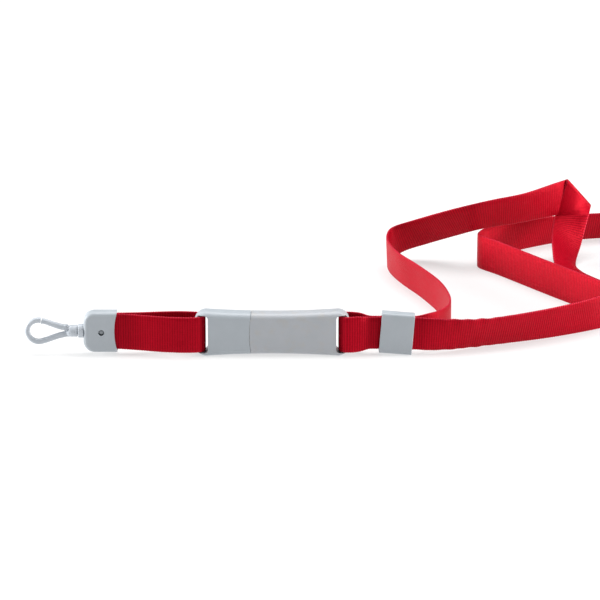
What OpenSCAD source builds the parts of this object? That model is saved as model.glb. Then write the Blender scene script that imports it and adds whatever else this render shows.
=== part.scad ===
// Neck lanyard with an in-line USB drive, a sliding sleeve and a swivel hook.
// It stands on the long edge of its strap. X runs along the fittings, +X towards the
// neck loop, and Z = 0 is the surface it stands on. Y = 0 is the middle of the drive.
// All sizes are millimetres.

/* [Strap] */
// Width of the woven strap
strap_w = 15; // [14.6:0.1:15.2]
// Thickness of one layer of strap
strap_t = 0.9; // [0.7:0.05:0.95]

/* [Drive] */
// Length of the drive with its cap on
drive_l = 62; // [62]
// Height of the drive at its two ends
drive_h = 18.6; // [18.4:0.1:19]
// Thickness of the drive
drive_t = 8; // [8:0.2:9]
// Depth of the waist in each long edge
waist = 0.9; // [0.3:0.1:1.2]
// Radius of the outline's corners
corner_r = 4.6; // [3.5:0.1:5.5]
// Radius that rounds the faces into the edges
edge_r = 2.3; // [1.5:0.1:2.5]
// Length of the pull-off cap
cap_l = 22; // [21:0.5:24]
// Bow of the joint line between cap and body
seam_bow = 0.8; // [0.4:0.1:1.2]

/* [Strap slots] */
// Width of the bar that closes each slot
bar_w = 2.6; // [2.2:0.1:2.8]
// Thickness of the bar
bar_t = 5; // [4:0.2:5]
// Distance from the drive's end to the slot's inner wall
slot_in = 5.3; // [5.2:0.1:6]
// Height of the slots
slot_h = 15.8; // [15.6:0.1:16]

/* [Sleeve] */
// Length of the sleeve along the strap
sleeve_l = 13.2; // [12:0.2:13.4]
// Height of the sleeve
sleeve_h = 16.8; // [16.6:0.2:18]
// Thickness of the sleeve over both faces
sleeve_t = 5.2; // [5:0.2:6]
// Wall of the sleeve
sleeve_wall = 0.8; // [0.6:0.1:0.8]
// Lean of the sleeve on the strap, in degrees
sleeve_lean = 4.5; // [0:0.5:4.5]

/* [End cap] */
// Length of the end cap
end_l = 13.6; // [13:0.2:15]
// Height of the end cap
end_h = 16.8; // [16.6:0.2:18]
// Thickness of the end cap
end_t = 6; // [5.8:0.2:7]
// Bow of its mouth
mouth_bow = 1.2; // [0.5:0.1:1.5]
// Radius of the retaining pin
pin_r = 1.2; // [1:0.1:1.3]

/* [Hook] */
// Radius of the eye, to the middle of the rod
eye_r = 4.5; // [4.3:0.1:4.8]
// Radius of the hook's rod
rod_r = 1.1; // [0.9:0.05:1.2]
// Radius of the swivel post
post_r = 1.3; // [1.1:0.1:1.5]
// Outer radius of the swivel bush
bush_r = 2.8; // [2.6:0.1:3]

/* [Plug] */
// Height of the metal plug shell
plug_h = 12; // [12]
// Thickness of the metal plug shell
plug_t = 4.5; // [4.5]
// Length that stands out of the body
plug_out = 12; // [11.5:0.1:12.5]

/* [Hidden] */
$fn = 48;

strap_red = "#c0142b";
shell_grey = "#a6adb4";
hook_white = "#dfe3e8";
clearance = 0.05;

// Places along X: the drive's two ends, its middle and the joint line of cap and body
drive_x0 = -10;
drive_x1 = drive_x0 + drive_l;
drive_xm = (drive_x0 + drive_x1) / 2;
seam_x = drive_x0 + cap_l;
seam_gap = 0.15;
axis_z = drive_h / 2;
slot_wall_l = drive_x0 + slot_in;
slot_wall_r = drive_x1 - slot_in;
bar_l_x = drive_x0 + bar_w / 2;
bar_r_x = drive_x1 - bar_w / 2;
seam_arc_r = (pow(drive_h / 2, 2) + pow(seam_bow, 2)) / (2 * seam_bow);

// The end cap, the pin through it and the hook's swivel
end_x0 = -54.6;
end_x1 = end_x0 + end_l;
end_z = 9.8;
end_corner_r = 4.5;
end_edge_r = 1.5;
pin_x = -47.4;
pin_inset = 0.4;
mouth_arc_r = (pow(end_h / 2, 2) + pow(mouth_bow, 2)) / (2 * mouth_bow);
pocket_x = -50.8;
pocket_t = 2.3;
pocket_h = 15.4;
bush_x0 = -56.8;
bush_seat_r = 1.9;
wall_x = -52.8;
head_r = 2.1;
head_l = 1.6;
stem_r = 2.45;
stem_x0 = -60.6;
stem_x1 = -57;

// The hook's eye, the parting of gate and nose as an angle, and the gate's knuckle
eye_x = -78.2 + rod_r + eye_r;
part_angle = 76;
part_gap = 2;
knuckle_x = -61.6;
knuckle_z = end_z + 1.35;

// The sleeve's middle
sleeve_x = 71;
sleeve_z = 9;

// ---- the neck strap's route: the middle of the strap and, after it, the direction of
// its half width. UP stands on edge; TUCK is the strap gathered inside the sleeve ----
UP = [0, 0, 1];
TUCK = [0, 0, 0.91];
TO_FOLD = [
    [[72, 0, 9], TUCK], [[66, 0, 9], TUCK], [[62.5, -0.5, 9.1], TUCK], [[59.5, -1.1, 9.2], TUCK],
    [[56, -2.5, 9.2], UP], [[51, -3.6, 9.2], UP], [[48.6, -2.2, 9.2], UP],
    [[48, 0, 9.2], UP], [[48.6, 2.2, 9.2], UP], [[51, 3.6, 9.2], UP],
    [[56, 2.5, 9.2], UP], [[59.5, 1.1, 9.2], TUCK], [[63, 1, 9], TUCK], [[74, 1, 9], TUCK], [[79, 1, 9], TUCK],
    [[84, 3, 8.8], UP], [[88.5, 8, 8.5], UP], [[92.6, 18, 8], UP], [[93, 32, 7.6], UP],
    [[89.8, 51, 7.5], [-0.04, -0.02, 0.99]], [[82.5, 72, 7.5], [-0.11, -0.06, 0.98]],
    [[74.4, 91, 7.5], [-0.14, -0.1, 0.98]], [[70.2, 107, 7.5], [-0.07, -0.1, 0.98]],
    [[70.2, 117.5, 8.2], [-0.05, -0.15, 0.98]], [[74.5, 123.4, 10.2], [-0.26, -0.37, 0.88]],
    [[84, 123.2, 13.5], [-0.4, -0.39, 0.83]], [[97, 118.4, 18.9], [-0.42, -0.38, 0.82]],
    [[106, 116, 22.1], [-0.24, -0.42, 0.87]], [[115, 117.8, 23.6], [-0.04, -0.39, 0.92]],
    [[128, 123, 24.4], [0.04, -0.27, 0.95]], [[142, 132.2, 25.4], [-0.06, -0.08, 0.99]]];
FOLD = [
    [[152.6, 139.3, 26.4], [-0.73, -0.41, 0.91]],
    [[153, 138.8, 26.6], [-0.73, -0.41, 0.91]],
    [[152.8, 137.8, 26.4], [-0.73, -0.41, 0.91]]];
FROM_FOLD = [
    [[149.7, 133.5, 17.8], [-0.99, -0.03, -0.05]], [[147, 125, 10.2], [-0.85, -0.13, 0.45]],
    [[145.3, 114.5, 5.6], [-0.7, -0.3, 0.6]], [[146.6, 104, 2.8], [-0.77, -0.48, 0.3]],
    [[151.5, 93.5, 1.3], [-0.8, -0.6, 0.08]], [[158.5, 84.5, 1.5], [-0.76, -0.62, 0.13]],
    [[168, 76.5, 4.6], [-0.52, -0.48, 0.6]], [[181, 71, 7.5], UP], [[212, 68, 7.5], UP],
    [[230, 73, 7.5], UP], [[235, 84, 7.5], UP], [[229, 95, 7.5], UP], [[207, 100.5, 7.5], UP],
    [[190, 106, 7.5], UP], [[186, 115, 7.5], UP], [[191, 123, 7.5], UP], [[212, 126.5, 7.5], UP],
    [[232, 130, 7.5], UP], [[239, 140, 7.5], UP], [[233, 151, 7.5], UP], [[209, 158, 7.5], UP],
    [[184, 158, 7.5], [0, -0.2, 0.97]], [[168, 155, 6.8], [0.05, -0.42, 0.9]],
    [[149, 150, 6.9], [0.12, -0.37, 0.92]], [[127, 138, 7.4], [0.1, -0.15, 0.98]],
    [[114.5, 127, 7.5], UP], [[109.6, 120, 7.5], UP], [[109.3, 114, 7.5], UP],
    [[117.5, 103.5, 7.5], UP], [[137, 76, 7.5], UP], [[155, 51.5, 7.5], UP],
    [[160.4, 42.5, 7.5], UP], [[159, 36, 7.5], UP], [[150, 27.6, 7.4], [0.1, -0.15, 0.98]],
    [[134, 18, 7.2], [0.12, -0.27, 0.95]], [[118, 10.8, 6.9], [0.14, -0.36, 0.92]],
    [[106, 6.2, 7], [0.13, -0.38, 0.91]], [[94, 1.8, 7.7], [0.08, -0.28, 0.94]],
    [[84, -0.8, 8.6], [0.04, -0.1, 0.94]], [[78, -1, 9], TUCK], [[66, -1, 9], TUCK]];

// The lower strap's route: out of the end cap, round the drive's left bar and back
LOWER = [
    [[-50, -0.6, 9.8], UP], [[-45, -0.6, 9.8], UP], [[-41, -0.6, 9.8], UP], [[-33, -1.6, 9.6], UP],
    [[-24, -3.2, 9.4], UP], [[-16, -4, 9.3], UP], [[-9.5, -3.6, 9.2], UP],
    [[-6.7, -2.2, 9.2], UP], [[-6, 0, 9.2], UP], [[-6.7, 2.2, 9.2], UP],
    [[-9.5, 3.6, 9.2], UP], [[-16, 4, 9.3], UP], [[-24, 3.2, 9.4], UP],
    [[-33, 1.6, 9.6], UP], [[-41, 0.6, 9.8], UP], [[-45, 0.6, 9.8], UP], [[-50, 0.6, 9.8], UP]];

// ---- curves and sweeps ----
function unit(v) = v / norm(v);
function at(p, i) = p[max(0, min(len(p) - 1, i))];
function blend4(a, b, c, d, t) = 0.5 * ((2 * b) + (c - a) * t
    + (2 * a - 5 * b + 4 * c - d) * t * t + (3 * b - a - 3 * c + d) * t * t * t);
function smooth(p, n) = [for (i = [0 : len(p) - 2]) for (k = [0 : n - 1])
    blend4(at(p, i - 1), p[i], p[i + 1], at(p, i + 2), k / n), p[len(p) - 1]];
function column(rows, c) = [for (r = rows) r[c]];
function backwards(p) = [for (i = [len(p) - 1 : -1 : 0]) p[i]];
function smooth_route(rows, n) =
    let (p = smooth(column(rows, 0), n), w = smooth(column(rows, 1), n))
    [for (i = [0 : len(p) - 1]) [p[i], w[i]]];

// Closed solid over rings that have the same even number of corners, clockwise along the way.
// The second half of each ring splits its faces the other way, so that opposite faces match.
module ring_solid(rings) {
    n = len(rings[0]);
    last = (len(rings) - 1) * n;
    sides = [for (r = [0 : n : last - n]) for (k = [0 : n - 1])
        let (a = r + k, b = r + (k + 1) % n)
        each k < n / 2 ? [[a, b, b + n], [a, b + n, a + n]] : [[a, b, a + n], [b, b + n, a + n]]];
    strips = [for (i = [0 : n / 2 - 2]) [i, i + 1, n - 2 - i, n - 1 - i]];
    caps = [for (q = strips) each [backwards(q), [for (v = q) v + last]]];
    polyhedron([for (ring = rings) each ring], concat(sides, caps));
}

// Flat strap along a route of [middle, half width direction] rows, never below Z = 0
module strap_solid(route) {
    ring_solid([for (i = [0 : len(route) - 1]) let (
            along = unit(at(route, i + 1)[0] - at(route, i - 1)[0]),
            w = route[i][1] * strap_w / 2,
            t = unit(cross(along, w)) * strap_t / 2,
            lift = max(0, abs(w[2]) + abs(t[2]) - route[i][0][2]),
            p = route[i][0] + [0, 0, lift])
        [p + w + t, p + w - t, p - w - t, p - w + t]]);
}

// Round rod along a path in the XZ plane
module rod(path, r, sides = 16) {
    ring_solid([for (i = [0 : len(path) - 1]) let (
            along = unit(at(path, i + 1) - at(path, i - 1)),
            across = cross(along, [0, 1, 0]))
        [for (k = [0 : sides - 1]) let (a = 360 * (k + 0.5) / sides)
            path[i] + r * (cos(a) * [0, 1, 0] - sin(a) * across)]]);
}

// Outline in the XZ plane with round corners and a waist, inset by d
function outline(x0, x1, h, r, w, d) = let (
        xm = (x0 + x1) / 2,
        run = (x1 - x0) / 2 - r,
        steps = 12,
        arc = function (cx, cz, a0) [for (k = [0 : 6])
            [cx + (r - d) * cos(a0 + 15 * k), cz + (r - d) * sin(a0 + 15 * k)]],
        side = function (sign) [for (k = [1 : steps - 1]) let (
                u = -1 + 2 * k / steps,
                m = unit([-2 * w * u / run, 1]))
            [xm + u * run - m[0] * d, sign * (h / 2 - w * (1 - u * u) - m[1] * d)]])
    concat(arc(x1 - r, h / 2 - r, 0), backwards(side(1)), arc(x0 + r, h / 2 - r, 90),
        arc(x0 + r, r - h / 2, 180), side(-1), arc(x1 - r, r - h / 2, 270));

// Slab of thickness t over that outline, its faces rounded into its edges by radius e
module soft_slab(x0, x1, h, r, w, t, e) {
    steps = 5;
    levels = [for (k = [0 : steps]) let (a = 90 * k / steps) [t / 2 - e * (1 - cos(a)), e * (1 - sin(a))]];
    ring = function (y, d) [for (p = outline(x0, x1, h, r, w, d)) [p[0], y, p[1]]];
    ring_solid(concat([for (v = levels) ring(-v[0], v[1])], [for (v = backwards(levels)) ring(v[0], v[1])]));
}

module box_between(a, b) { translate(a) cube(b - a); }
module across_y(x, z, r, l) { translate([x, 0, z]) rotate([90, 0, 0]) cylinder(r = r, h = l, center = true); }
module along_x(x0, x1, z, r) { translate([x0, 0, z]) rotate([0, 90, 0]) cylinder(r = r, h = x1 - x0); }
module round_rect(w, h, r) {
    square([w - 2 * r, h], center = true);
    square([w, h - 2 * r], center = true);
    for (x = [-1, 1], y = [-1, 1]) translate([x * (w / 2 - r), y * (h / 2 - r)]) circle(r);
}

// ---- neck strap ----
module neck_strap() {
    color(strap_red)
        strap_solid(concat(smooth_route(TO_FOLD, 2), FOLD, smooth_route(FROM_FOLD, 2)));
}

// Thread that joins the strap's two ends, inside the sleeve
module strap_stitching() {
    stitch = [0.4, 0.2, 1.4];
    face = 1.04 + strap_t / 2;
    color(strap_red)
        for (x = [67.4, 70.4], k = [-3 : 3], side = [-1, 1])
            translate([x, side * (face + stitch[1] / 2), sleeve_z + 2 * k]) cube(stitch, center = true);
}

module sleeve() {
    color(shell_grey)
        translate([sleeve_x, 0, sleeve_z]) rotate([0, sleeve_lean, 0]) translate([-sleeve_l / 2, 0, 0])
            rotate([90, 0, 90]) linear_extrude(sleeve_l) difference() {
                round_rect(sleeve_t, sleeve_h, 1);
                square([sleeve_t - 2 * sleeve_wall, sleeve_h - 2 * sleeve_wall], center = true);
            }
}

// ---- drive ----
wall = 1.2;
cavity_h = 13.6;
cavity_t = drive_t - 2 * wall;
module drive_slab() {
    translate([0, 0, axis_z]) soft_slab(drive_x0, drive_x1, drive_h, corner_r, waist, drive_t, edge_r);
}
module seam_disc(grow) { across_y(seam_x + seam_arc_r, axis_z, seam_arc_r + grow, 2 * drive_t); }
module slot_cut(x0, x1) {
    box_between([x0, -drive_t, axis_z - slot_h / 2], [x1, drive_t, axis_z + slot_h / 2]);
}
module slot_bar(x) {
    intersection() {
        drive_slab();
        translate([x, 0, 0]) linear_extrude(drive_h) round_rect(bar_w, bar_t, bar_w / 2 - 0.01);
    }
}
module plug_window(grow) {
    box_between([seam_x - 1, -plug_t / 2 - grow, axis_z - plug_h / 2 - grow],
        [seam_x + 3, plug_t / 2 + grow, axis_z + plug_h / 2 + grow]);
}

// One half of the body; side is -1 for the front and 1 for the rear
module body_half(side) {
    color(shell_grey) intersection() {
        translate([0, side * drive_t, drive_h / 2])
            cube([4 * drive_l, 2 * drive_t, 2 * drive_h], center = true);
        seam_disc(0);
        union() {
            difference() {
                drive_slab();
                slot_cut(slot_wall_r, drive_x1 + 1);
                box_between([seam_x + wall, -cavity_t / 2, axis_z - cavity_h / 2],
                    [slot_wall_r - wall, cavity_t / 2, axis_z + cavity_h / 2]);
                plug_window(clearance);
            }
            slot_bar(bar_r_x);
        }
    }
}
module body_front_shell() { body_half(-1); }
module body_rear_shell() { body_half(1); }

liner_x0 = slot_wall_l + wall;
module drive_cap() {
    color(shell_grey) {
        difference() {
            drive_slab();
            seam_disc(seam_gap);
            slot_cut(drive_x0 - 1, slot_wall_l);
            box_between([liner_x0, -cavity_t / 2, axis_z - cavity_h / 2],
                [seam_x + 2, cavity_t / 2, axis_z + cavity_h / 2]);
        }
        slot_bar(bar_l_x);
    }
}

// Grip inside the cap that holds the plug
module cap_liner() {
    color("dimgray") difference() {
        box_between([liner_x0, -cavity_t / 2, axis_z - cavity_h / 2],
            [seam_x - 1, cavity_t / 2, axis_z + cavity_h / 2]);
        box_between([liner_x0 + 1, -plug_t / 2 - clearance, axis_z - plug_h / 2 - clearance],
            [seam_x, plug_t / 2 + clearance, axis_z + plug_h / 2 + clearance]);
    }
}

// ---- inside the drive: a USB plug and its circuit board ----
plug_x0 = seam_x - plug_out;
plug_x1 = plug_x0 + 19;
shell_wall = 0.3;
tongue_y = 0.3;
board_x0 = plug_x1 + 2.5;
board_x1 = board_x0 + 22.5;
board_t = 0.8;
module plug_shell() {
    window = 2.2;
    color("silver") difference() {
        box_between([plug_x0, -plug_t / 2, axis_z - plug_h / 2], [plug_x1, plug_t / 2, axis_z + plug_h / 2]);
        box_between([plug_x0 - 1, shell_wall - plug_t / 2, axis_z - plug_h / 2 + shell_wall],
            [plug_x1 + 1, plug_t / 2 - shell_wall, axis_z + plug_h / 2 - shell_wall]);
        for (z = [-2.9, 2.9])
            translate([plug_x0 + 5.5, -plug_t / 2, axis_z + z]) cube([window, 1, window], center = true);
    }
}
module plug_tongue() {
    color("#20242a") box_between([plug_x0 + 0.8, tongue_y, axis_z - plug_h / 2 + 0.5],
        [plug_x1, plug_t / 2 - shell_wall, axis_z + plug_h / 2 - 0.5]);
}
module plug_contacts() {
    color("gold") for (z = [-3.5, -1, 1, 3.5])
        box_between([plug_x0 + 1.6, tongue_y - 0.15, axis_z + z - 0.5], [plug_x0 + 9, tongue_y, axis_z + z + 0.5]);
}
module plug_carrier() {
    color("#20242a") box_between([plug_x1, -2.1, axis_z - 6], [board_x0, 2.1, axis_z + 6]);
}
module circuit_board() {
    color("seagreen") box_between([board_x0, -board_t / 2, axis_z - 6.4], [board_x1, board_t / 2, axis_z + 6.4]);
}
// A flat component on the board; side is -1 for its front and 1 for its rear
module component(x, z, size, side) {
    translate([x, side * (board_t + size[1]) / 2, axis_z + z]) cube(size, center = true);
}
module flash_chip() { color("#25282c") component(36.5, 0, [12, 1, 11.5], -1); }
module controller_chip() { color("#25282c") component(28, 0, [7, 0.9, 7], 1); }
module crystal() { color("silver") component(27, 4.2, [3.2, 0.8, 2.5], -1); }
module capacitors() {
    color("tan") for (x = [24.5, 26.5, 28.5], z = [-5.2, -3.4]) component(x, z, [1, 0.5, 0.5], -1);
}
module status_led() { color("white") component(24.6, 0, [0.8, 0.6, 1.6], -1); }

// ---- lower strap, end cap and swivel ----
module lower_strap() { color(strap_red) strap_solid(smooth_route(LOWER, 2)); }

module end_cap() {
    color(shell_grey) difference() {
        translate([0, 0, end_z])
            soft_slab(end_x0, end_x1 + 5, end_h, end_corner_r, 0, end_t, end_edge_r);
        across_y(end_x1 - mouth_bow + mouth_arc_r, end_z, mouth_arc_r, 2 * end_t);
        box_between([pocket_x, -pocket_t / 2, end_z - pocket_h / 2],
            [end_x1 + 6, pocket_t / 2, end_z + pocket_h / 2]);
        along_x(wall_x, pocket_x + 1, end_z, head_r + 0.1);
        along_x(end_x0 - 1, wall_x + 1, end_z, bush_seat_r);
        across_y(pin_x, end_z, pin_r, 2 * end_t);
    }
}

// Pin through the end cap and both layers of the lower strap
module retaining_pin() { color("silver") across_y(pin_x, end_z, pin_r, end_t - 2 * pin_inset); }

module swivel_bush() {
    color(hook_white) difference() {
        union() {
            along_x(bush_x0, end_x0, end_z, bush_r);
            along_x(end_x0 - 0.5, wall_x, end_z, bush_seat_r);
        }
        along_x(bush_x0 - 1, wall_x + 1, end_z, post_r + clearance);
    }
}
module swivel_head() {
    color("silver") difference() {
        along_x(wall_x + clearance, wall_x + clearance + head_l, end_z, head_r);
        along_x(wall_x - 1, wall_x + 0.9, end_z, post_r);
    }
}

// ---- hook ----
function eye_point(a) = [eye_x + eye_r * cos(a), 0, end_z + eye_r * sin(a)];
ARM = [[-69.4, 0, 3.75], [-66.6, 0, 2.7], [-64, 0, 1.85]];
module hook() {
    lower_arm = [for (p = ARM) [p[0], 0, end_z - p[2]]];
    color(hook_white) {
        difference() {
            hull() {
                along_x(stem_x0 + 1.2, stem_x1, end_z, stem_r);
                for (s = [-1, 1]) along_x(knuckle_x + 0.4, stem_x1, end_z + 1.3 * s, rod_r);
            }
            across_y(knuckle_x, knuckle_z, rod_r + clearance, 3 * stem_r);
        }
        rod(concat([for (a = [part_angle + part_gap : 14 : 286]) eye_point(a)],
            smooth(concat(lower_arm, [[-61.4, 0, end_z - 1.35], [-59, 0, end_z - 1.2]]), 2)), rod_r);
        along_x(stem_x1 - 0.5, wall_x + 0.9, end_z, post_r);
    }
}
module hook_gate() {
    upper_arm = [for (p = ARM) [p[0], 0, end_z + p[2]]];
    color(hook_white) {
        rod(concat([eye_point(part_angle - part_gap), eye_point(part_angle - 14)],
            smooth(concat(upper_arm, [[knuckle_x, 0, knuckle_z]]), 2)), rod_r);
        across_y(knuckle_x, knuckle_z, rod_r, 2 * rod_r);
    }
}

neck_strap();
strap_stitching();
sleeve();
body_front_shell();
body_rear_shell();
drive_cap();
cap_liner();
plug_shell();
plug_tongue();
plug_contacts();
plug_carrier();
circuit_board();
flash_chip();
controller_chip();
crystal();
capacitors();
status_led();
lower_strap();
end_cap();
retaining_pin();
swivel_bush();
swivel_head();
hook();
hook_gate();
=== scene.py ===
"""The lanyard's looks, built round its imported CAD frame. Lengths are metres, in the frame's axes."""

import math

import bmesh
import bpy
import numpy as np
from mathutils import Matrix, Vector


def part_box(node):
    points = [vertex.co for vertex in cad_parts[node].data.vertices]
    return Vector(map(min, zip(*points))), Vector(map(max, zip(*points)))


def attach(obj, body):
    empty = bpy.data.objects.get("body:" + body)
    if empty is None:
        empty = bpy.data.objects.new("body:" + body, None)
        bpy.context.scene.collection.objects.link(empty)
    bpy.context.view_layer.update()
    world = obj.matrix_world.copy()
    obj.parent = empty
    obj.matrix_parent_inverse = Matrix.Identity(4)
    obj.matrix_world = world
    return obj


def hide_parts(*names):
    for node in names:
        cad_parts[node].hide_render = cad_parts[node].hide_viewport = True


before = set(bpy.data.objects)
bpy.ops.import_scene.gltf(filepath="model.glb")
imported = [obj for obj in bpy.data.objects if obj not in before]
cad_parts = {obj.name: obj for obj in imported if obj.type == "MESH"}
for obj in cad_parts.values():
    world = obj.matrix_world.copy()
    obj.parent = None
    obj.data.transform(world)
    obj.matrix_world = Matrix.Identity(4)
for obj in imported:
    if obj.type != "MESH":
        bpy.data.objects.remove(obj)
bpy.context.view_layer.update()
MM = 0.001

# ---- camera -------------------------------------------------------------------------------
TARGET = Vector((0.0322, 0, 0.02275))
ELEVATION = math.radians(18)
DISTANCE = 1.6
LENS_MM = 240


def make_camera():
    """The photo's view, from straight in front and above."""
    data = bpy.data.cameras.new("camera")
    data.lens = LENS_MM
    data.sensor_width = 36
    data.clip_end = 20
    camera = bpy.data.objects.new("camera", data)
    back = Vector((0, -math.cos(ELEVATION), math.sin(ELEVATION)))
    camera.location = TARGET + back * DISTANCE
    camera.rotation_euler = (math.pi / 2 - ELEVATION, 0, 0)
    bpy.context.scene.collection.objects.link(camera)
    bpy.context.scene.camera = camera


make_camera()

# ---- the straps' routes, as in the CAD: the strap's middle, then its half width's direction --
UP = (0, 0, 1)
TUCK = (0, 0, 0.91)
TO_FOLD = [
    ((0.072, 0, 0.009), TUCK), ((0.066, 0, 0.009), TUCK), ((0.0625, -0.0005, 0.0091), TUCK),
    ((0.0595, -0.0011, 0.0092), TUCK), ((0.056, -0.0025, 0.0092), UP),
    ((0.051, -0.0036, 0.0092), UP), ((0.0486, -0.0022, 0.0092), UP), ((0.048, 0, 0.0092), UP),
    ((0.0486, 0.0022, 0.0092), UP), ((0.051, 0.0036, 0.0092), UP), ((0.056, 0.0025, 0.0092), UP),
    ((0.0595, 0.0011, 0.0092), TUCK), ((0.063, 0.001, 0.009), TUCK), ((0.074, 0.001, 0.009), TUCK),
    ((0.079, 0.001, 0.009), TUCK), ((0.084, 0.003, 0.0088), UP), ((0.0885, 0.008, 0.0085), UP),
    ((0.0926, 0.018, 0.008), UP), ((0.093, 0.032, 0.0076), UP),
    ((0.0898, 0.051, 0.0075), (-0.04, -0.02, 0.99)),
    ((0.0825, 0.072, 0.0075), (-0.11, -0.06, 0.98)), ((0.0744, 0.091, 0.0075), (-0.14, -0.1, 0.98)),
    ((0.0702, 0.107, 0.0075), (-0.07, -0.1, 0.98)),
    ((0.0702, 0.1175, 0.0082), (-0.05, -0.15, 0.98)),
    ((0.0745, 0.1234, 0.0102), (-0.26, -0.37, 0.88)),
    ((0.084, 0.1232, 0.0135), (-0.4, -0.39, 0.83)), ((0.097, 0.1184, 0.0189), (-0.42, -0.38, 0.82)),
    ((0.106, 0.116, 0.0221), (-0.24, -0.42, 0.87)), ((0.115, 0.1178, 0.0236), (-0.04, -0.39, 0.92)),
    ((0.128, 0.123, 0.0244), (0.04, -0.27, 0.95)), ((0.142, 0.1322, 0.0254), (-0.06, -0.08, 0.99)),
]
FOLD = [
    ((0.1526, 0.1393, 0.0264), (-0.73, -0.41, 0.91)),
    ((0.153, 0.1388, 0.0266), (-0.73, -0.41, 0.91)),
    ((0.1528, 0.1378, 0.0264), (-0.73, -0.41, 0.91)),
]
FROM_FOLD = [
    ((0.1497, 0.1335, 0.0178), (-0.99, -0.03, -0.05)),
    ((0.147, 0.125, 0.0102), (-0.85, -0.13, 0.45)), ((0.1453, 0.1145, 0.0056), (-0.7, -0.3, 0.6)),
    ((0.1466, 0.104, 0.0028), (-0.77, -0.48, 0.3)), ((0.1515, 0.0935, 0.0013), (-0.8, -0.6, 0.08)),
    ((0.1585, 0.0845, 0.0015), (-0.76, -0.62, 0.13)),
    ((0.168, 0.0765, 0.0046), (-0.52, -0.48, 0.6)), ((0.181, 0.071, 0.0075), UP),
    ((0.212, 0.068, 0.0075), UP), ((0.23, 0.073, 0.0075), UP), ((0.235, 0.084, 0.0075), UP),
    ((0.229, 0.095, 0.0075), UP), ((0.207, 0.1005, 0.0075), UP), ((0.19, 0.106, 0.0075), UP),
    ((0.186, 0.115, 0.0075), UP), ((0.191, 0.123, 0.0075), UP), ((0.212, 0.1265, 0.0075), UP),
    ((0.232, 0.13, 0.0075), UP), ((0.239, 0.14, 0.0075), UP), ((0.233, 0.151, 0.0075), UP),
    ((0.209, 0.158, 0.0075), UP), ((0.184, 0.158, 0.0075), (0, -0.2, 0.97)),
    ((0.168, 0.155, 0.0068), (0.05, -0.42, 0.9)), ((0.149, 0.15, 0.0069), (0.12, -0.37, 0.92)),
    ((0.127, 0.138, 0.0074), (0.1, -0.15, 0.98)), ((0.1145, 0.127, 0.0075), UP),
    ((0.1096, 0.12, 0.0075), UP), ((0.1093, 0.114, 0.0075), UP), ((0.1175, 0.1035, 0.0075), UP),
    ((0.137, 0.076, 0.0075), UP), ((0.155, 0.0515, 0.0075), UP), ((0.1604, 0.0425, 0.0075), UP),
    ((0.159, 0.036, 0.0075), UP), ((0.15, 0.0276, 0.0074), (0.1, -0.15, 0.98)),
    ((0.134, 0.018, 0.0072), (0.12, -0.27, 0.95)), ((0.118, 0.0108, 0.0069), (0.14, -0.36, 0.92)),
    ((0.106, 0.0062, 0.007), (0.13, -0.38, 0.91)), ((0.094, 0.0018, 0.0077), (0.08, -0.28, 0.94)),
    ((0.084, -0.0008, 0.0086), (0.04, -0.1, 0.94)), ((0.078, -0.001, 0.009), TUCK),
    ((0.066, -0.001, 0.009), TUCK),
]
LOWER = [
    ((-0.05, -0.0006, 0.0098), UP), ((-0.045, -0.0006, 0.0098), UP),
    ((-0.041, -0.0006, 0.0098), UP), ((-0.033, -0.0016, 0.0096), UP),
    ((-0.024, -0.0032, 0.0094), UP), ((-0.016, -0.004, 0.0093), UP),
    ((-0.0095, -0.0036, 0.0092), UP), ((-0.0067, -0.0022, 0.0092), UP), ((-0.006, 0, 0.0092), UP),
    ((-0.0067, 0.0022, 0.0092), UP), ((-0.0095, 0.0036, 0.0092), UP), ((-0.016, 0.004, 0.0093), UP),
    ((-0.024, 0.0032, 0.0094), UP), ((-0.033, 0.0016, 0.0096), UP), ((-0.041, 0.0006, 0.0098), UP),
    ((-0.045, 0.0006, 0.0098), UP), ((-0.05, 0.0006, 0.0098), UP),
]

STRAP_WIDTH = 15 * MM
STRAP_THICK = 0.9 * MM
RIB_PITCH = 1.0 * MM
RIB_DEPTH = 0.055 * MM
STEPS_PER_RIB = 6
SCALLOP = 0.006
THREAD_PITCH = 0.34 * MM
EASE = 0.8 * MM
ROUTE_STEPS = 24
# Ribs that a fold spreads to FAN_LIMIT times their pitch are gone. They fade over FAN_FADE before it
FAN_LIMIT, FAN_FADE = 1.6, 0.4
# The strap's upper face: places across its half width, and the share of its thickness there
SECTION = [
    (0.985, 0.55), (0.94, 0.9), (0.6, 1), (0.2, 1),
    (-0.2, 1), (-0.6, 1), (-0.94, 0.9), (-0.985, 0.55),
]


def smooth(points, n):
    """Catmull-Rom curve through the points, with n steps between two of them."""
    p = np.array([points[0], *points, points[-1]], float)
    out = []
    for a, b, c, d in zip(p, p[1:], p[2:], p[3:]):
        square, cube = 2 * a - 5 * b + 4 * c - d, 3 * b - a - 3 * c + d
        out += [0.5 * (2 * b + (c - a) * t + square * t**2 + cube * t**3) for t in np.arange(n) / n]
    return np.array(out + [p[-1]])


def smooth_rows(rows):
    """The route smoothed, six numbers a row: the middle and the half width's direction."""
    return smooth([(*middle, *across) for middle, across in rows], ROUTE_STEPS)


def evenly(rows, step):
    """The rows again, spaced step apart along the middle and eased over about a millimetre."""
    along = np.concatenate([[0], np.cumsum(np.linalg.norm(np.diff(rows[:, :3], axis=0), axis=1))])
    count = round(along[-1] / step)
    at = np.linspace(0, along[-1], count + 1)
    even = np.stack([np.interp(at, along, rows[:, k]) for k in range(6)], axis=1)
    reach = round(EASE / step)
    kernel = np.hanning(2 * reach + 3)[1:-1]
    kernel /= kernel.sum()
    padded = np.concatenate([np.repeat(even[:1], reach, 0), even, np.repeat(even[-1:], reach, 0)])
    eased = np.stack([np.convolve(padded[:, k], kernel, "valid") for k in range(6)], axis=1)
    eased[[0, -1]] = even[[0, -1]]
    return at, eased


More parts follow.
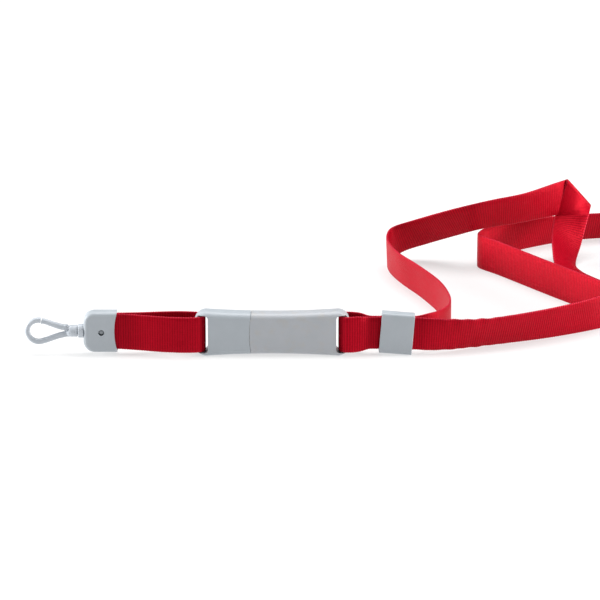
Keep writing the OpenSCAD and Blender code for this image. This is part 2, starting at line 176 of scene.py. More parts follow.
def unit(v):
    """The vectors, each a unit long."""
    return v / np.linalg.norm(v, axis=-1, keepdims=True)


def mesh_object(name, verts, faces, material):
    """Smooth-shaded object of those corners and faces."""
    mesh = bpy.data.meshes.new(name)
    mesh.from_pydata([tuple(v) for v in verts], [], faces)
    mesh.validate()
    mesh.materials.append(material)
    mesh.polygons.foreach_set("use_smooth", [True] * len(mesh.polygons))
    made = bpy.data.objects.new(name, mesh)
    bpy.context.scene.collection.objects.link(made)
    return made


def ring_faces(rings, n):
    """Faces of a closed tube of so many rings of n corners, with a face over each end."""
    faces = [
        (r * n + k, r * n + (k + 1) % n, (r + 1) * n + (k + 1) % n, (r + 1) * n + k)
        for r in range(rings - 1)
        for k in range(n)
    ]
    last = (rings - 1) * n
    return faces + [tuple(range(n))[::-1], tuple(range(last, last + n))]


def ripple(at, near, reach, size):
    """Two waves of the strap's edges that die out over reach on either side of near."""
    short, long = 0.95 * MM, 1.6 * MM
    fade = np.exp(-(((at - near) / reach) ** 2))
    return size * fade * (np.sin(at / short) + 0.6 * np.sin(at / long + 1))


def spot_layer(mesh, name, spots):
    """UV layer that gives each corner of the mesh its vertex's spot."""
    corner = np.zeros(len(mesh.loops), np.int32)
    mesh.loops.foreach_get("vertex_index", corner)
    mesh.uv_layers.new(name=name).data.foreach_set("uv", spots[corner].astype(np.float32).ravel())


def pace(line):
    """How far each point of the line is from the next."""
    return np.linalg.norm(np.gradient(line, axis=0), axis=1)


def ribbon(name, rows, material, waves):
    """Grosgrain strap along the rows, and its middle line: round ribs across it, and an edge that
    scallops with them. waves are (place along the strap, reach, size) of its wavy edges."""
    at, rows = evenly(rows, RIB_PITCH / STEPS_PER_RIB)
    middle, across = rows[:, :3], rows[:, 3:] * STRAP_WIDTH / 2
    along = unit(np.gradient(middle, axis=0))
    out = unit(np.cross(along, across))
    turn = 2 * np.pi * at / RIB_PITCH
    edge_1, edge_2, centre = (pace(middle + k * across) for k in (1, -1, 0))
    calm = np.clip((FAN_LIMIT - np.maximum(edge_1, edge_2) / centre) / FAN_FADE, 0, 1)
    blend = np.hanning(5 * STEPS_PER_RIB + 1)
    calm = np.convolve(calm, blend / blend.sum(), "same")
    rib = RIB_DEPTH * calm * (np.abs(np.cos(turn / 2)) - 1)
    thick = STRAP_THICK / 2 + rib
    scallop = 1 + SCALLOP * calm * np.cos(turn)
    low = np.abs(across[:, 2]) + np.abs(out[:, 2]) * STRAP_THICK / 2
    middle[:, 2] += np.maximum(0, low - middle[:, 2])
    wave = sum((ripple(at, *w) for w in waves), np.zeros(len(at)))
    rings, spots = [], []
    profile = [(1, 0), *SECTION, (-1, 0), *[(u, -f) for u, f in reversed(SECTION)]]
    for u, f in profile:
        sway = (wave * u**4 * (1 if u > 0 else -0.7))[:, None] * out
        rings.append(middle + across * (u * scallop)[:, None] + out * (thick * f)[:, None] + sway)
        spots.append(np.stack([at, np.full(len(at), u * STRAP_WIDTH / 2)], axis=1))
    n, count = len(profile), len(at)
    verts = np.stack(rings, axis=1).reshape(-1, 3)
    spots = np.stack(spots, axis=1).reshape(-1, 2)
    made = mesh_object(name, verts, ring_faces(count, n), material)
    spot_layer(made.data, "weave", spots)
    calm = np.repeat(calm, n)
    spot_layer(made.data, "calm", np.stack([calm, calm], axis=1))
    return made, middle


# ---- materials -----------------------------------------------------------------------------
def linear(code):
    """A colour code such as c0142b as a linear colour."""
    parts = [int(code[i : i + 2], 16) / 255 for i in (0, 2, 4)]
    return [c / 12.92 if c <= 0.04045 else ((c + 0.055) / 1.055) ** 2.4 for c in parts] + [1]


class Shader:
    """A new material, its Principled shader and a few node helpers."""

    def __init__(self, name, **values):
        self.material = bpy.data.materials.new(name)
        self.material.use_nodes = True
        self.tree = self.material.node_tree
        self.shader = self.tree.nodes["Principled BSDF"]
        for key, value in values.items():
            self.shader.inputs[key.replace("_", " ")].default_value = value

    def node(self, kind, inputs=None, **settings):
        """New node with those settings. An input is a value, or a socket to link to."""
        made = self.tree.nodes.new(kind)
        for key, value in settings.items():
            setattr(made, key, value)
        for key, value in (inputs or {}).items():
            if isinstance(value, bpy.types.NodeSocket):
                self.tree.links.new(value, made.inputs[key])
            else:
                made.inputs[key].default_value = value
        return made

    def maths(self, operation, a, b=0.0, c=0.0):
        return self.node("ShaderNodeMath", {0: a, 1: b, 2: c}, operation=operation).outputs[0]

    def mix(self, factor, a, b):
        """Colour a where the factor is 0, and b where it is 1."""
        made = self.node("ShaderNodeMix", {0: factor, 6: a, 7: b}, data_type="RGBA")
        return made.outputs[2]

    def place(self, scale=(1, 1, 1)):
        """The piece's own coordinates in metres, times the scale."""
        spot = self.node("ShaderNodeTexCoord").outputs["Object"]
        return self.node("ShaderNodeMapping", {"Vector": spot, "Scale": scale}).outputs[0]

    def noise(self, where, scale, detail=3.0, roughness=0.5):
        inputs = {"Vector": where, "Scale": scale, "Detail": detail, "Roughness": roughness}
        return self.node("ShaderNodeTexNoise", inputs).outputs[0]

    def ramp(self, value, low, high, to_low=0.0, to_high=1.0):
        """The value between low and high, mapped to between to_low and to_high."""
        inputs = {0: value, 1: low, 2: high, 3: to_low, 4: to_high}
        return self.node("ShaderNodeMapRange", inputs).outputs[0]

    def link(self, value, socket):
        self.tree.links.new(value, self.shader.inputs[socket])

    def bump(self, height, distance, strength=1.0):
        inputs = {"Height": height, "Distance": distance, "Strength": strength}
        made = self.node("ShaderNodeBump", inputs)
        self.link(made.outputs[0], "Normal")


def make_webbing():
    """Red grosgrain: a rib across the strap each millimetre, under fine threads along it. Its colour
    holds painted shade in the rib valleys and a painted highlight along both edges.
    """
    m = Shader("webbing", Metallic=0.25)
    m.shader.inputs["Specular IOR Level"].default_value = 0.06
    uv = m.node("ShaderNodeUVMap", uv_map="weave").outputs[0]
    parts = m.node("ShaderNodeSeparateXYZ", {0: uv})
    along, across = parts.outputs[0], parts.outputs[1]
    wobble = m.noise(uv, 900, 2)
    rib_turn = m.maths("MULTIPLY", along, 2 * math.pi / RIB_PITCH)
    rib = m.maths("COSINE", m.maths("MULTIPLY_ADD", wobble, 0.7, rib_turn))
    calm = m.node("ShaderNodeUVMap", uv_map="calm").outputs[0]
    calm = m.node("ShaderNodeSeparateXYZ", {0: calm}).outputs[0]
    # Painted shade: the rib valleys darken towards 640210, as shade between the ribs would. It fades
    # where a fold spreads the ribs.
    painted_valley_shade = m.maths("MULTIPLY", m.ramp(rib, -1, 0.2, 1, 0), calm)
    thread_turn = m.maths("MULTIPLY", across, 2 * math.pi / THREAD_PITCH)
    thread = m.maths("SINE", m.maths("MULTIPLY_ADD", wobble, 1.5, thread_turn))
    stretched = m.node("ShaderNodeMapping", {"Vector": uv, "Scale": (160, 2600, 1)}).outputs[0]
    fibre = m.noise(stretched, 1.0, 4, 0.6)
    patch = m.noise(uv, 70, 3)
    base = m.mix(m.ramp(patch, 0.3, 0.7), linear("b2041c"), linear("bb0620"))
    base = m.mix(m.maths("MULTIPLY", painted_valley_shade, 0.5), base, linear("640210"))
    base = m.mix(m.ramp(fibre, 0.45, 0.8, 0, 0.4), base, linear("cc0f30"))
    # Painted highlight: a light pink band along both edges of the strap, broken by the ribs, as edges
    # catching the light would show.
    rim = m.ramp(m.maths("ABSOLUTE", across), 0.46 * STRAP_WIDTH, 0.495 * STRAP_WIDTH)
    painted_edge_highlight = m.maths("MULTIPLY", rim, m.ramp(rib, -0.2, 0.9, 0.25, 0.75))
    base = m.mix(painted_edge_highlight, base, linear("cc3a50"))
    m.link(base, "Base Color")
    m.link(m.ramp(fibre, 0.3, 0.8, 0.36, 0.5), "Roughness")
    height = m.maths("MULTIPLY_ADD", thread, 0.5, m.maths("MULTIPLY", fibre, 0.9))
    m.bump(height, 0.05 * MM, 0.7)
    return m.material


def make_thread():
    """Twisted sewing thread."""
    m = Shader("thread", Roughness=0.5, Sheen_Weight=0.3)
    twist = m.node("ShaderNodeTexWave", {"Vector": m.place(), "Scale": 1300.0, "Distortion": 2.0})
    m.link(m.mix(twist.outputs[1], linear("8d0a1d"), linear("c4152d")), "Base Color")
    m.bump(twist.outputs[1], 0.05 * MM)
    return m.material


def make_plastic(name, dark, light, rough, grain=0.35, warm=None):
    """Moulded satin plastic: a fine grain, a faint mottle and a roughness that varies a little."""
    m = Shader(name)
    m.shader.inputs["Specular IOR Level"].default_value = 0.45
    where = m.place()
    fine = m.noise(where, 9000, 2, 0.6)
    broad = m.noise(where, 190, 3, 0.55)
    base = m.mix(m.ramp(broad, 0.35, 0.65), linear(dark), linear(light))
    if warm:
        base = m.mix(m.ramp(m.noise(where, 330, 2), 0.5, 0.72, 0, 0.5), base, linear(warm))
    base = m.mix(m.ramp(fine, 0.55, 0.8, 0, 0.18), base, linear("eef2f5"))
    m.link(base, "Base Color")
    m.link(m.ramp(broad, 0.3, 0.7, rough - 0.04, rough + 0.05), "Roughness")
    m.bump(fine, 0.02 * MM, grain)
    return m.material


def make_metal(name, colour, rough, brush=(900, 12600, 12600)):
    """Brushed metal. brush is how fine its lines are along each axis."""
    m = Shader(name, Metallic=1.0)
    lines = m.noise(m.place(brush), 1.0, 4, 0.6)
    base = linear(colour)
    m.link(m.mix(lines, [0.82 * c for c in base[:3]] + [1], base), "Base Color")
    m.link(m.ramp(lines, 0.3, 0.7, rough - 0.06, rough + 0.08), "Roughness")
    m.bump(lines, 0.01 * MM, 0.3)
    return m.material


def make_board():
    """Green solder mask over copper tracks."""
    m = Shader("board", Coat_Weight=0.4, Coat_Roughness=0.15)
    where = m.place()
    brick = m.node(
        "ShaderNodeTexBrick",
        {"Vector": where, "Scale": 420.0, "Mortar Size": 0.04, "Bias": -0.2},
        offset=0.35,
    )
    tracks = m.ramp(brick.outputs[1], 0.4, 0.6)
    m.link(m.mix(tracks, linear("0f5132"), linear("2c7a4b")), "Base Color")
    m.link(m.ramp(m.noise(where, 900), 0.3, 0.7, 0.28, 0.4), "Roughness")
    m.bump(tracks, 0.03 * MM, 0.6)
    return m.material


WEBBING = make_webbing()
SILVER = make_plastic("silver_plastic", "aeb5bb", "b1b8be", 0.42)
SILVER_BODY = make_plastic("silver_body", "b0b4b9", "b4b7bc", 0.42, warm="b5b2ae")
PALE = make_plastic("pale_silver", "bcc3cb", "c4cad1", 0.38, grain=0.2)
BLACK = make_plastic("black_plastic", "15171a", "1f2226", 0.5)
EPOXY = make_plastic("chip_epoxy", "17181b", "24262a", 0.55, grain=0.6)
CERAMIC = make_plastic("ceramic", "a48a68", "bda27d", 0.5)
LAMP = make_plastic("lamp_case", "e8e6d4", "f2f0e2", 0.3)
NICKEL = make_metal("nickel", "d2d2ce", 0.26)
STEEL = make_metal("pin_steel", "8b9094", 0.4, brush=(5400, 900, 5400))
GOLD = make_metal("gold", "e8b85a", 0.22)


# ---- the straps ----------------------------------------------------------------------------
def make_neck_strap():
    """The neck strap: from the sleeve round the drive's bar, through it, round the loop and back in."""
    rows = np.concatenate([smooth_rows(TO_FOLD), [[*p, *w] for p, w in FOLD], smooth_rows(FROM_FOLD)])
    waves = [(13 * MM, 6 * MM, 0.1 * MM), (52 * MM, 9 * MM, 0.12 * MM), (890 * MM, 14 * MM, 0.22 * MM)]
    strap, line = ribbon("neck_strap_woven", rows, WEBBING, waves)
    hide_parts("neck_strap")
    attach(strap, "neck_loop")


def make_lower_strap():
    """The short strap from the end cap round the drive's left bar and back."""
    waves = [(26 * MM, 12 * MM, 0.06 * MM)]
    strap = ribbon("lower_strap_woven", smooth_rows(LOWER), WEBBING, waves)[0]
    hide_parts("lower_strap")
    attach(strap, "lower_strap")


make_neck_strap()
make_lower_strap()


# ---- rounded solids ------------------------------------------------------------------------
# Points nearer than this are one point, and faces within this angle are one flat face
SAME_POINT = 0.02 * MM
FLAT = math.radians(0.02)
# Steps along a slab's long side, points of a corner and degrees between them, and steps of its edge
SIDE_STEPS = 22
ARC_POINTS, ARC_STEP = 19, 5
EDGE_STEPS = 8


def outline(x0, x1, height, corner, waist, inset):
    """Outline in XZ about Z = 0, with round corners and waisted long edges, inset by so much."""
    middle, run, steps = (x0 + x1) / 2, (x1 - x0) / 2 - corner, SIDE_STEPS

    def arc(cx, cz, start):
        turns = [math.radians(start + ARC_STEP * k) for k in range(ARC_POINTS)]
        radius = corner - inset
        return [(cx + radius * math.cos(a), cz + radius * math.sin(a)) for a in turns]

    def side(sign):
        points = []
        for k in range(1, steps):
            u = -1 + 2 * k / steps
            mx, mz = unit(np.array([-2 * waist * u / run, 1.0]))
            z = height / 2 - waist * (1 - u * u) - mz * inset
            points.append((middle + u * run - mx * inset, sign * z))
        return points

    top, low = height / 2 - corner, corner - height / 2
    return [
        *arc(x1 - corner, top, 0), *side(1)[::-1], *arc(x0 + corner, top, 90),
        *arc(x0 + corner, low, 180), *side(-1), *arc(x1 - corner, low, 270),
    ]


def soft_slab(name, x0, x1, z, height, corner, waist, thick, edge):
    """Slab over that outline, with its faces rounded into its edges."""
    levels = []
    for k in range(EDGE_STEPS + 1):
        a = math.pi / 2 * k / EDGE_STEPS
        levels.append((thick / 2 - edge * (1 - math.cos(a)), edge * (1 - math.sin(a))))
    stack = sorted([(-y, d) for y, d in levels] + levels)
    rings = [[(x, y, z + h) for x, h in outline(x0, x1, height, corner, waist, d)] for y, d in stack]
    n = len(rings[0])
    return mesh_object(name, [p for ring in rings for p in ring], ring_faces(len(rings), n), SILVER)


def box_between(low, high, radius=0.0, axis=0):
    """Cutter box. Its edges along the axis, 0 for X, 1 for Y or 2 for Z, are rounded."""
    bm = bmesh.new()
    bmesh.ops.create_cube(bm, size=1)
    low, high = Vector(low), Vector(high)
    for v in bm.verts:
        v.co = Vector((low[i] + (v.co[i] + 0.5) * (high[i] - low[i]) for i in range(3)))
    if radius:
        edges = [e for e in bm.edges if abs((e.verts[1].co - e.verts[0].co).normalized()[axis]) > 0.9]
        bmesh.ops.bevel(bm, geom=edges, offset=radius, segments=8, profile=0.5, affect="EDGES")
    return cutter(bm)


def drum(centre, radius, length, axis, sides=48):
    """Cutter cylinder along an axis, 0 for X or 1 for Y."""
    bm = bmesh.new()
    bmesh.ops.create_cone(
        bm, cap_ends=True, segments=sides, radius1=radius, radius2=radius, depth=length
    )
    made = cutter(bm)
    made.rotation_euler = ((0, math.pi / 2, 0), (math.pi / 2, 0, 0))[axis]
    made.location = centre
    return made


def cutter(bm):
    """Object made from the mesh, to cut with or to build on."""
    mesh = bpy.data.meshes.new("cutter")
    bmesh.ops.recalc_face_normals(bm, faces=bm.faces)
    bm.to_mesh(mesh)
    bm.free()
    made = bpy.data.objects.new("cutter", mesh)
    bpy.context.scene.collection.objects.link(made)
    return made


def settle(piece):
    """Applies the piece's modifiers."""
    bpy.context.view_layer.update()
    graph = bpy.context.evaluated_depsgraph_get()
    mesh = bpy.data.meshes.new_from_object(piece.evaluated_get(graph))
    old, piece.data = piece.data, mesh
    piece.modifiers.clear()
    bpy.data.meshes.remove(old)


def combine(piece, tool, operation="DIFFERENCE"):
    """Cuts the tool out of the piece, or joins or crosses the two. The tool is used up."""
    change = piece.modifiers.new("combine", "BOOLEAN")
    change.operation = operation
    change.object = tool
    change.solver = "EXACT"
    settle(piece)
    bpy.data.objects.remove(tool)


def copy_of(piece, name):
    """Copy of the piece and its mesh."""
    made = piece.copy()
    made.data = piece.data.copy()
    made.name = name
    bpy.context.scene.collection.objects.link(made)
    return made


def finish_edges(piece, width):
    """Rounds the sharp edges that cutting left, and evens the shading."""
    bm = bmesh.new()
    bm.from_mesh(piece.data)
    bmesh.ops.remove_doubles(bm, verts=bm.verts, dist=SAME_POINT)
    bmesh.ops.dissolve_limit(bm, angle_limit=FLAT, verts=bm.verts, edges=bm.edges)
    bm.to_mesh(piece.data)
    bm.free()
    bevel = piece.modifiers.new("edges", "BEVEL")
    bevel.width = width
    bevel.segments = 3
    bevel.limit_method = "ANGLE"
    bevel.angle_limit = math.radians(32)
    settle(piece)
    for face in piece.data.polygons:
        face.use_smooth = True
    piece.modifiers.new("shading", "WEIGHTED_NORMAL").keep_sharp = True


def stand_for(piece, material, body, node):
    """Puts the piece in the place of the CAD node."""
    piece.data.materials.clear()
    piece.data.materials.append(material)
    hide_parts(node)
    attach(piece, body)


# ---- drive ---------------------------------------------------------------------------------
DRIVE_LOW, DRIVE_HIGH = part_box("drive_cap")[0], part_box("body_rear_shell")[1]
DRIVE_X0, DRIVE_X1 = DRIVE_LOW.x, DRIVE_HIGH.x
DRIVE_T, DRIVE_H = 2 * DRIVE_HIGH.y, DRIVE_HIGH.z
AXIS_Z = DRIVE_H / 2
SEAM_BOW = 0.8 * MM
SEAM_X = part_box("body_front_shell")[0].x + SEAM_BOW
SEAM_R = ((DRIVE_H / 2) ** 2 + SEAM_BOW**2) / (2 * SEAM_BOW)
SEAM_GAP = 0.14 * MM
SLOT_IN = 5.3 * MM
SLOT_H = 15.8 * MM
BAR_W, BAR_T = 2.6 * MM, 5 * MM
WALL = 1.2 * MM
PLUG_FIT = 0.05 * MM
CAVITY_H = 13.6 * MM
CORNER_R, WAIST, EDGE_R = 4.6 * MM, 0.9 * MM, 2.3 * MM
# A cutter that runs this far goes past the piece
FAR = 0.05


def drive_slab(name):
    """Slab of the drive's whole outline, cap and body."""
    return soft_slab(name, DRIVE_X0, DRIVE_X1, AXIS_Z, DRIVE_H, CORNER_R, WAIST, DRIVE_T, EDGE_R)


def seam_disc(grow):
    """Disc whose rim is the joint line between the cap and the body."""
    return drum((SEAM_X - SEAM_BOW + SEAM_R, 0, AXIS_Z), SEAM_R + grow, FAR, 1, 720)


def slot_cut(x0, x1):
    """Cutter of a strap slot."""
    half = SLOT_H / 2
    return box_between((x0, -FAR, AXIS_Z - half), (x1, FAR, AXIS_Z + half), 1.5 * MM, 1)


def bar(x):
    """The bar that closes a slot: a post with round edges, cut to the drive's outline."""
    low, high = (x - BAR_W / 2, -BAR_T / 2, 0), (x + BAR_W / 2, BAR_T / 2, DRIVE_H)
    post = box_between(low, high, 1.2 * MM, 2)
    combine(post, drive_slab("bar_slab"), "INTERSECT")
    return post


def hollow(x0, x1):
    """Cutter of the room inside the cap or the body."""
    half = CAVITY_H / 2
    thick = DRIVE_T / 2 - WALL
    return box_between((x0, -thick, AXIS_Z - half), (x1, thick, AXIS_Z + half))


def make_drive():
    """The drive's cap, and its body split into a front and a rear half at the middle of its edge."""
    wall_l, wall_r = DRIVE_X0 + SLOT_IN, DRIVE_X1 - SLOT_IN
    cap = drive_slab("drive_cap_shell")
    combine(cap, seam_disc(SEAM_GAP))
    combine(cap, slot_cut(DRIVE_X0 - FAR, wall_l))
    combine(cap, bar(DRIVE_X0 + BAR_W / 2), "UNION")
    combine(cap, hollow(wall_l + WALL, SEAM_X + FAR / 10))
    finish_edges(cap, 0.28 * MM)
    stand_for(cap, SILVER, "cap", "drive_cap")

    body = drive_slab("body")
    combine(body, seam_disc(0), "INTERSECT")
    combine(body, slot_cut(wall_r, DRIVE_X1 + FAR))
    combine(body, bar(DRIVE_X1 - BAR_W / 2), "UNION")
    combine(body, hollow(SEAM_X + WALL, wall_r - WALL))
    low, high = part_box("plug_shell")
    fit = Vector((0, PLUG_FIT, PLUG_FIT))
    combine(body, box_between(low - fit, high + fit))
    for name, y0, y1 in (("body_front", -FAR, 0), ("body_rear", 0, FAR)):
        half = copy_of(body, name)
        combine(half, box_between((-FAR, y0, -FAR), (2 * FAR, y1, FAR)), "INTERSECT")
        finish_edges(half, 0.2 * MM)
        stand_for(half, SILVER_BODY, "drive", name + "_shell")
    bpy.data.objects.remove(body)


make_drive()


# ---- sleeve --------------------------------------------------------------------------------
SLEEVE_L, SLEEVE_T, SLEEVE_H = 13.2 * MM, 5.2 * MM, 16.8 * MM
SLEEVE_WALL = 0.8 * MM
SLEEVE_LEAN = math.radians(4.5)


def make_sleeve():
    """Flat tube round the strap's runs, with a slight lean."""
    half = Vector((SLEEVE_L / 2, SLEEVE_T / 2, SLEEVE_H / 2))
    sleeve = box_between(-half, half, 1 * MM, 0)
    sleeve.name = "sleeve_tube"
    bore = half - Vector((-FAR, SLEEVE_WALL, SLEEVE_WALL))
    combine(sleeve, box_between(-bore, bore, 0.3 * MM, 0))
    finish_edges(sleeve, 0.28 * MM)
    low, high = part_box("sleeve")
    sleeve.location = (low + high) / 2
    sleeve.rotation_euler = (0, SLEEVE_LEAN, 0)
    stand_for(sleeve, SILVER, "sleeve", "sleeve")


make_sleeve()


# ---- end cap and its pin -------------------------------------------------------------------
END_LOW, END_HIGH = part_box("end_cap")
END_Z = (END_LOW.z + END_HIGH.z) / 2
MOUTH_BOW = 1.2 * MM
END_CORNER_R, END_EDGE_R = 4.5 * MM, 1.5 * MM
PAST_MOUTH = 5 * MM
POCKET_X = END_LOW.x + 3.8 * MM
POCKET_T, POCKET_H = 2.3 * MM, 15.4 * MM
BUSH_SEAT_R = 1.9 * MM
PIN_LOW, PIN_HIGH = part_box("retaining_pin")
PIN_X = (PIN_LOW.x + PIN_HIGH.x) / 2
PIN_R = (PIN_HIGH.x - PIN_LOW.x) / 2
PIN_SET_BACK = 0.25 * MM


def make_end_cap():
    """End cap, with a bowed mouth for the strap, a pin hole and a seat for the bush."""
    height = END_HIGH.z - END_LOW.z
    radius = ((height / 2) ** 2 + MOUTH_BOW**2) / (2 * MOUTH_BOW)
    thick = END_HIGH.y - END_LOW.y
    x1 = END_HIGH.x + PAST_MOUTH
    size = (height, END_CORNER_R, 0, thick, END_EDGE_R)
    cap = soft_slab("end_cap_shell", END_LOW.x, x1, END_Z, *size)
    combine(cap, drum((END_HIGH.x - MOUTH_BOW + radius, 0, END_Z), radius, FAR, 1, 360))
    low = (POCKET_X, -POCKET_T / 2, END_Z - POCKET_H / 2)
    high = (END_HIGH.x + FAR, POCKET_T / 2, END_Z + POCKET_H / 2)
    combine(cap, box_between(low, high, 0.5 * MM, 0))
    combine(cap, drum((PIN_X, 0, END_Z), PIN_R, FAR, 1))
    combine(cap, drum((END_LOW.x, 0, END_Z), BUSH_SEAT_R, 7 * MM, 0))
    finish_edges(cap, 0.2 * MM)
    stand_for(cap, SILVER, "lower_strap", "end_cap")


def lathe(name, profile, axis, centre, material, sides=48):
    """Turned piece: (place along the axis, radius) rows, the axis 0 for X or 1 for Y."""
    rings = []
    for place, radius in profile:
        ring = []
        for k in range(sides):
            a = 2 * math.pi * k / sides
            c, s = radius * math.cos(a), radius * math.sin(a)
            ring.append(((place, c, s), (c, place, -s))[axis])
        rings.append(ring)
    verts = [Vector(p) + Vector(centre) for ring in rings for p in ring]
    return mesh_object(name, verts, ring_faces(len(rings), sides), material)


def make_pin():
    """Pin with a slightly domed face at each end, set back in its hole."""
    half = (PIN_HIGH.y - PIN_LOW.y) / 2 - PIN_SET_BACK
    face = [(half, 0.1 * PIN_R), (half - 0.01 * MM, 0.4 * PIN_R), (half - 0.06 * MM, 0.7 * PIN_R)]
    face += [(half - 0.16 * MM, 0.9 * PIN_R), (half - 0.3 * MM, 0.97 * PIN_R)]
    profile = [(-y, r) for y, r in face] + face[::-1]
    pin = lathe("pin_turned", profile, 1, (PIN_X, 0, END_Z), STEEL)
    finish_edges(pin, 0.03 * MM)
    stand_for(pin, STEEL, "lower_strap", "retaining_pin")


make_end_cap()
make_pin()


# ---- swivel and hook -----------------------------------------------------------------------
BUSH_LOW, BUSH_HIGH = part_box("swivel_bush")
POST_R = 1.3 * MM
BORE_R = POST_R + 0.05 * MM
ROD_R = 1.1 * MM
ROD_DEPTH = 1.08 * MM
ROD_SIDES = 24
SQUARENESS = 0.75
EYE_R = 4.5 * MM
HOOK_TIP_X = -78.2 * MM
EYE_X = HOOK_TIP_X + ROD_R + EYE_R
KNUCKLE = Vector((-61.6 * MM, 0, END_Z + 1.35 * MM))
STEM_X0, STEM_X1 = -60.6 * MM, -57 * MM
STEM_R = 2.45 * MM
# Degrees round the eye: its parting from the gate, half the gap there, and where the eye ends
PARTING = 76
PARTING_GAP = 1.6
EYE_END = 286
ARM = [(-69.4 * MM, 3.75 * MM), (-66.6 * MM, 2.7 * MM), (-64 * MM, 1.85 * MM)]


def make_bush():
    """Collar round the hook's post, turned as one closed ring of corners."""
    radius = (BUSH_HIGH.z - BUSH_LOW.z) / 2
    flange = END_LOW.x
    rows = [
        (BUSH_HIGH.x, BORE_R), (BUSH_HIGH.x, BUSH_SEAT_R), (flange, BUSH_SEAT_R),
        (flange, radius - 0.2 * MM), (flange - 0.2 * MM, radius), (BUSH_LOW.x + 0.35 * MM, radius),
        (BUSH_LOW.x + 0.1 * MM, radius - 0.1 * MM), (BUSH_LOW.x, radius - 0.35 * MM),
        (BUSH_LOW.x, BORE_R), (BUSH_HIGH.x, BORE_R),
    ]
    bush = lathe("bush_turned", rows, 0, (0, 0, END_Z), PALE)
    bm = bmesh.new()
    bm.from_mesh(bush.data)
    bmesh.ops.delete(bm, geom=[f for f in bm.faces if len(f.verts) > 4], context="FACES_ONLY")
    bmesh.ops.remove_doubles(bm, verts=bm.verts, dist=0.001 * MM)
    bmesh.ops.recalc_face_normals(bm, faces=bm.faces)
    bm.to_mesh(bush.data)
    bm.free()
    bush.modifiers.new("shading", "WEIGHTED_NORMAL")
    stand_for(bush, PALE, "lower_strap", "swivel_bush")


def rod(name, path, width):
    """Rod of a rounded-square section along a path in XZ. width is its half size in that plane."""
    path = np.array(path)
    along = unit(np.gradient(path, axis=0))
    aside = np.cross(along, (0, 1, 0))
    rings = []
    for k in range(ROD_SIDES):
        a = 2 * math.pi * (k + 0.5) / ROD_SIDES
        c, s = math.cos(a), math.sin(a)
        u = math.copysign(abs(c) ** SQUARENESS, c) * ROD_DEPTH
        v = math.copysign(abs(s) ** SQUARENESS, s)
        rings.append(path + u * np.array((0, 1, 0)) - (v * width)[:, None] * aside)
    verts = np.stack(rings, axis=1).reshape(-1, 3)
    return mesh_object(name, verts, ring_faces(len(path), ROD_SIDES), PALE)


def eye_point(degrees):
    """Point of the eye's middle line, turned from +X towards +Z."""
    a = math.radians(degrees)
    return (EYE_X + EYE_R * math.cos(a), 0, END_Z + EYE_R * math.sin(a))


def merge(name, parts, size, passes):
    """One casting from parts that overlap, blended where they meet. size is its voxels' size."""
    first = parts[0]
    for part in parts[1:]:
        combine(first, part, "UNION")
    first.name = name
    remesh = first.modifiers.new("blend", "REMESH")
    remesh.mode = "VOXEL"
    remesh.voxel_size = size
    settle(first)
    ease = first.modifiers.new("ease", "CORRECTIVE_SMOOTH")
    ease.smooth_type = "SIMPLE"
    ease.iterations = passes
    ease.use_only_smooth = True
    settle(first)
    for face in first.data.polygons:
        face.use_smooth = True
    return first


def arm_path(sign, last):
    """Middle line of the upper or the lower arm, sign 1 or -1, on to the last points."""
    knots = [(x, 0, END_Z + sign * z) for x, z in ARM] + last
    return [tuple(p) for p in smooth(knots, 8)]


def make_hook():
    """Stem, post, lower arm and eye in one casting, with room in the stem for the gate's knuckle."""
    nose = [eye_point(a) for a in range(PARTING + 2, EYE_END + 1, 4)]
    root = [(-61.4 * MM, 0, END_Z - 1.3 * MM), (-59.2 * MM, 0, END_Z - 1.2 * MM)]
    path = nose + arm_path(-1, root)
    grow = np.interp([p[0] for p in path], [EYE_X - EYE_R, EYE_X, -61 * MM], [1.02, 1.13, 1.2]) * MM
    eye = rod("hook_eye", path, grow)
    profile = [
        (STEM_X0 - 0.7 * MM, 0.9 * MM), (STEM_X0 - 0.4 * MM, 1.8 * MM),
        (STEM_X0 + 0.3 * MM, 2.25 * MM), (STEM_X0 + 1.2 * MM, STEM_R),
        (STEM_X1 - 0.25 * MM, STEM_R), (STEM_X1, STEM_R - 0.25 * MM),
    ]
    stem = lathe("stem", profile, 0, (0, 0, END_Z), PALE)
    combine(stem, drum(KNUCKLE, ROD_R + 0.28 * MM, FAR, 1))
    ends = (STEM_X1 - 1 * MM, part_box("hook")[1].x)
    post = lathe("post", [(x, POST_R) for x in ends], 0, (0, 0, END_Z), PALE)
    hook = merge("hook_cast", [stem, eye, post], size=0.11 * MM, passes=6)
    stand_for(hook, PALE, "hook", "hook")


def make_gate():
    """Sprung upper arm, with a small lip that hooks over the nose."""
    tip = [eye_point(PARTING - PARTING_GAP), eye_point(PARTING - 9)]
    path = [tuple(p) for p in smooth(tip, 4)] + arm_path(1, [tuple(KNUCKLE)])
    grow = np.interp([p[0] for p in path], [-71 * MM, -66 * MM, KNUCKLE.x], [1.06, 1.15, 1.2]) * MM
    arm = rod("gate_arm", path, grow)
    knuckle = drum(KNUCKLE, ROD_R + 0.04 * MM, 2.2 * ROD_R, 1)
    lip_at = Vector(eye_point(PARTING - 5)) - Vector((0.2 * MM, 0, 0.95 * MM))
    lip = drum(lip_at, 0.32 * MM, 1.5 * MM, 1, 24)
    gate = merge("gate_cast", [arm, knuckle, lip], size=0.1 * MM, passes=5)
    stand_for(gate, PALE, "gate", "hook_gate")


make_bush()
make_hook()
make_gate()


# ---- CAD pieces that keep their shape ------------------------------------------------------
def dress(node, material, edge=0.0):
    """Gives the CAD node its material and, where told, eased edges."""
    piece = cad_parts[node]
    piece.data.materials.clear()
    piece.data.materials.append(material)
    if edge:
        bevel = piece.modifiers.new("edges", "BEVEL")
        bevel.width = edge
        bevel.segments = 2
        bevel.limit_method = "ANGLE"


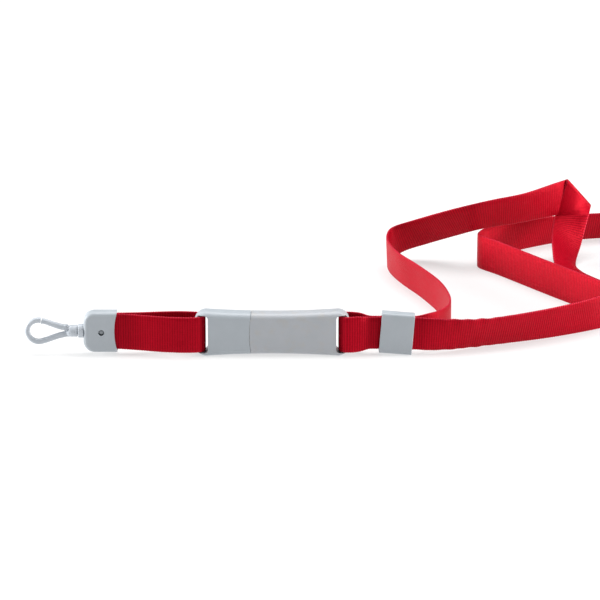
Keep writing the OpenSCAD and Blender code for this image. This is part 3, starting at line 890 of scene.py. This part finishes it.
dress("strap_stitching", make_thread())
dress("cap_liner", BLACK, 0.1 * MM)
dress("plug_shell", NICKEL)
dress("plug_tongue", BLACK, 0.08 * MM)
dress("plug_contacts", GOLD)
dress("plug_carrier", BLACK, 0.15 * MM)
dress("circuit_board", make_board())
dress("flash_chip", EPOXY, 0.08 * MM)
dress("controller_chip", EPOXY, 0.08 * MM)
dress("crystal", NICKEL, 0.1 * MM)
dress("capacitors", CERAMIC, 0.05 * MM)
dress("status_led", LAMP, 0.05 * MM)
dress("swivel_head", STEEL, 0.1 * MM)


# ---- floor and light -----------------------------------------------------------------------
def make_floor():
    """Plain pale floor. It glows a little, as a lit table does, so that its shadows stay faint."""
    floor = Shader("floor", Roughness=0.9)
    shade = floor.noise(floor.place(), 3.0, 2)
    floor.link(floor.mix(shade, linear("a0a0a0"), linear("a4a4a4")), "Base Color")
    floor.shader.inputs["Emission Color"].default_value = (1, 1, 1, 1)
    floor.shader.inputs["Emission Strength"].default_value = 0.6
    floor.shader.inputs["Specular IOR Level"].default_value = 0.1
    size, drop = 6, -0.05 * MM
    corners = [(x * size, y * size, drop) for x, y in ((-1, -1), (1, -1), (1, 1), (-1, 1))]
    plane = mesh_object("floor", corners, [(0, 1, 2, 3)], floor.material)


LIT_POINT = Vector((0.03, 0.03, 0.01))


def make_light(name, place, size, power):
    """Soft rectangular lamp turned to the object."""
    data = bpy.data.lights.new(name, "AREA")
    data.shape = "RECTANGLE"
    data.size, data.size_y = size
    data.energy = power
    light = bpy.data.objects.new(name, data)
    light.location = place
    light.rotation_euler = (LIT_POINT - Vector(place)).to_track_quat("-Z", "Y").to_euler()
    bpy.context.scene.collection.objects.link(light)


def make_world():
    """Faint cool light from all round."""
    world = bpy.data.worlds.new("studio")
    world.use_nodes = True
    background = world.node_tree.nodes["Background"]
    background.inputs["Color"].default_value = (0.93, 0.96, 1, 1)
    background.inputs["Strength"].default_value = 0.05
    bpy.context.scene.world = world
    bpy.context.scene.view_settings.view_transform = "Standard"


make_floor()
make_world()
make_light("left", (-1.5, 0.0, 0.4), (0.7, 0.6), 33)
make_light("right", (1.5, -0.1, 0.4), (0.7, 0.6), 25)
make_light("top", (0.1, 0.3, 1.6), (1.6, 1.2), 31)
